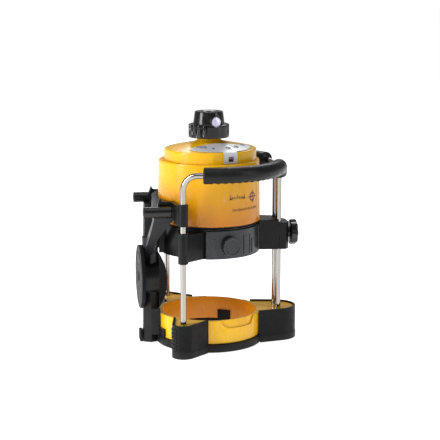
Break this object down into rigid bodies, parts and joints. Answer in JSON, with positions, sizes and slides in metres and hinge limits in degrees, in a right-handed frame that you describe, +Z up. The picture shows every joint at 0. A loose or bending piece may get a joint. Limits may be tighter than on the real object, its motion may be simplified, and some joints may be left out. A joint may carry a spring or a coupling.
{
  "type": "rotating laser level",
  "caption": "Rotating laser level: a round battery-powered housing with a spinning beam head, sliding on posts in a three-footed carrying cage with grips and a side mounting disc.",
  "frame": {"origin": "centre of the overall footprint on the floor, on the axis of the rotating head, under the rubber boots", "axes": "+Z up along the head axis, -Y to the front where the battery lock is, the mounting disc on the side facing -X and +Y"},
  "size_m": [0.2386, 0.2216, 0.3245],
  "materials": {
    "yellow": "glossy",
    "black": "satin",
    "grey": "satin",
    "rubber": "matte",
    "steel": "polished",
    "aluminium": "machined",
    "brass": "turned",
    "label": "satin",
    "glass": "polished",
    "window": "glossy",
    "board": "satin",
    "cell": "satin",
    "gear": "satin"
  },
  "bodies": {
    "cage": {"base_ring": "yellow", "base_band": "rubber", "boot_front_left": "rubber", "boot_right": "rubber", "boot_rear_left": "rubber", "ring_pad_front": "rubber", "ring_pad_rear": "rubber", "ring_pad_left": "rubber", "front_bail": "steel", "rear_bail": "steel", "front_grip": "rubber", "rear_grip": "rubber", "support_yoke": "black", "standoff_peg_front": "black", "standoff_peg_rear": "black", "support_column": "black", "column_cover": "black", "column_foot": "rubber", "tripod_disc": "grey", "disc_thread_insert": "brass"},
    "laser_unit": {"carrier_arm_front": "black", "carrier_arm_rear": "black", "carrier_arm_right": "black", "laser_hull": "black", "hull_thread_insert": "brass", "battery_door": "black", "battery_left": "cell", "battery_right": "cell", "housing_seal": "rubber", "housing_shell": "yellow", "top_cover": "yellow", "control_panel": "label", "sensor_window": "window", "status_led": "window", "chassis_frame": "black", "main_board": "board", "tilt_motor_x": "steel", "tilt_motor_y": "steel"},
    "jaw": {"clamp_jaw": "black"},
    "knob": {"clamp_knob": "black", "clamp_stud": "steel"},
    "battery_lock": {"battery_lock_knob": "grey"},
    "power_key": {"button_power": "label"},
    "slope_key": {"button_slope": "label"},
    "scan_key": {"button_scan": "label"},
    "speed_key": {"button_speed": "label"},
    "gimbal": {"gimbal_ring": "aluminium"},
    "spindle": {"spindle_frame": "aluminium", "rotor_bearing": "steel", "laser_barrel": "aluminium", "drive_motor": "steel"},
    "pinion": {"drive_pinion": "gear"},
    "rotor": {"driven_gear": "gear", "rotor_shaft": "steel", "rotor_shell": "black", "rotor_window": "glass", "rotor_hub": "aluminium", "penta_prism": "glass"}
  },
  "joints": [
    {"name": "height_slide", "type": "slide", "parent": "cage", "child": "laser_unit", "axis": [0, 0, 1], "range_m": [-0.045, 0.009]},
    {"name": "clamp_slide", "type": "slide", "parent": "laser_unit", "child": "jaw", "axis": [0.866, -0.5, 0], "range_m": [0, 0.0015]},
    {"name": "clamp_turn", "type": "hinge", "parent": "jaw", "child": "knob", "pos_m": [0.10306, -0.0595, 0.151], "axis": [0.866, -0.5, 0], "range_deg": [0, 540]},
    {"name": "battery_lock_turn", "type": "hinge", "parent": "laser_unit", "child": "battery_lock", "pos_m": [-0.01941, -0.07244, 0.148], "axis": [-0.2588, -0.9659, 0], "range_deg": [0, 90]},
    {"name": "power_press", "type": "slide", "parent": "laser_unit", "child": "power_key", "axis": [0.1633, 0.1143, -0.9799], "range_m": [0, 0.0005], "stiffness_N_per_m": 400},
    {"name": "slope_press", "type": "slide", "parent": "laser_unit", "child": "slope_key", "axis": [0.0312, 0.1969, -0.9799], "range_m": [0, 0.0005], "stiffness_N_per_m": 400},
    {"name": "scan_press", "type": "slide", "parent": "laser_unit", "child": "scan_key", "axis": [-0.038, 0.1957, -0.9799], "range_m": [0, 0.0005], "stiffness_N_per_m": 400},
    {"name": "speed_press", "type": "slide", "parent": "laser_unit", "child": "speed_key", "axis": [-0.1143, 0.1633, -0.9799], "range_m": [0, 0.0005], "stiffness_N_per_m": 400},
    {"name": "tilt_x", "type": "hinge", "parent": "laser_unit", "child": "gimbal", "pos_m": [0, 0, 0.256], "axis": [1, 0, 0], "range_deg": [-4, 4]},
    {"name": "tilt_y", "type": "hinge", "parent": "gimbal", "child": "spindle", "pos_m": [0, 0, 0.256], "axis": [0, 1, 0], "range_deg": [-4, 4]},
    {"name": "head_spin", "type": "hinge", "parent": "spindle", "child": "rotor", "pos_m": [0, 0, 0.29], "axis": [0, 0, 1], "continuous": true},
    {"name": "drive_pinion_spin", "type": "hinge", "parent": "spindle", "child": "pinion", "pos_m": [0.018, 0, 0.262], "axis": [0, 0, 1], "continuous": true}
  ],
  "couplings": [
    {"joint": "clamp_turn", "follows": "clamp_slide", "rad_per_m": 6283.2},
    {"joint": "drive_pinion_spin", "follows": "head_spin", "ratio": -3}
  ]
}
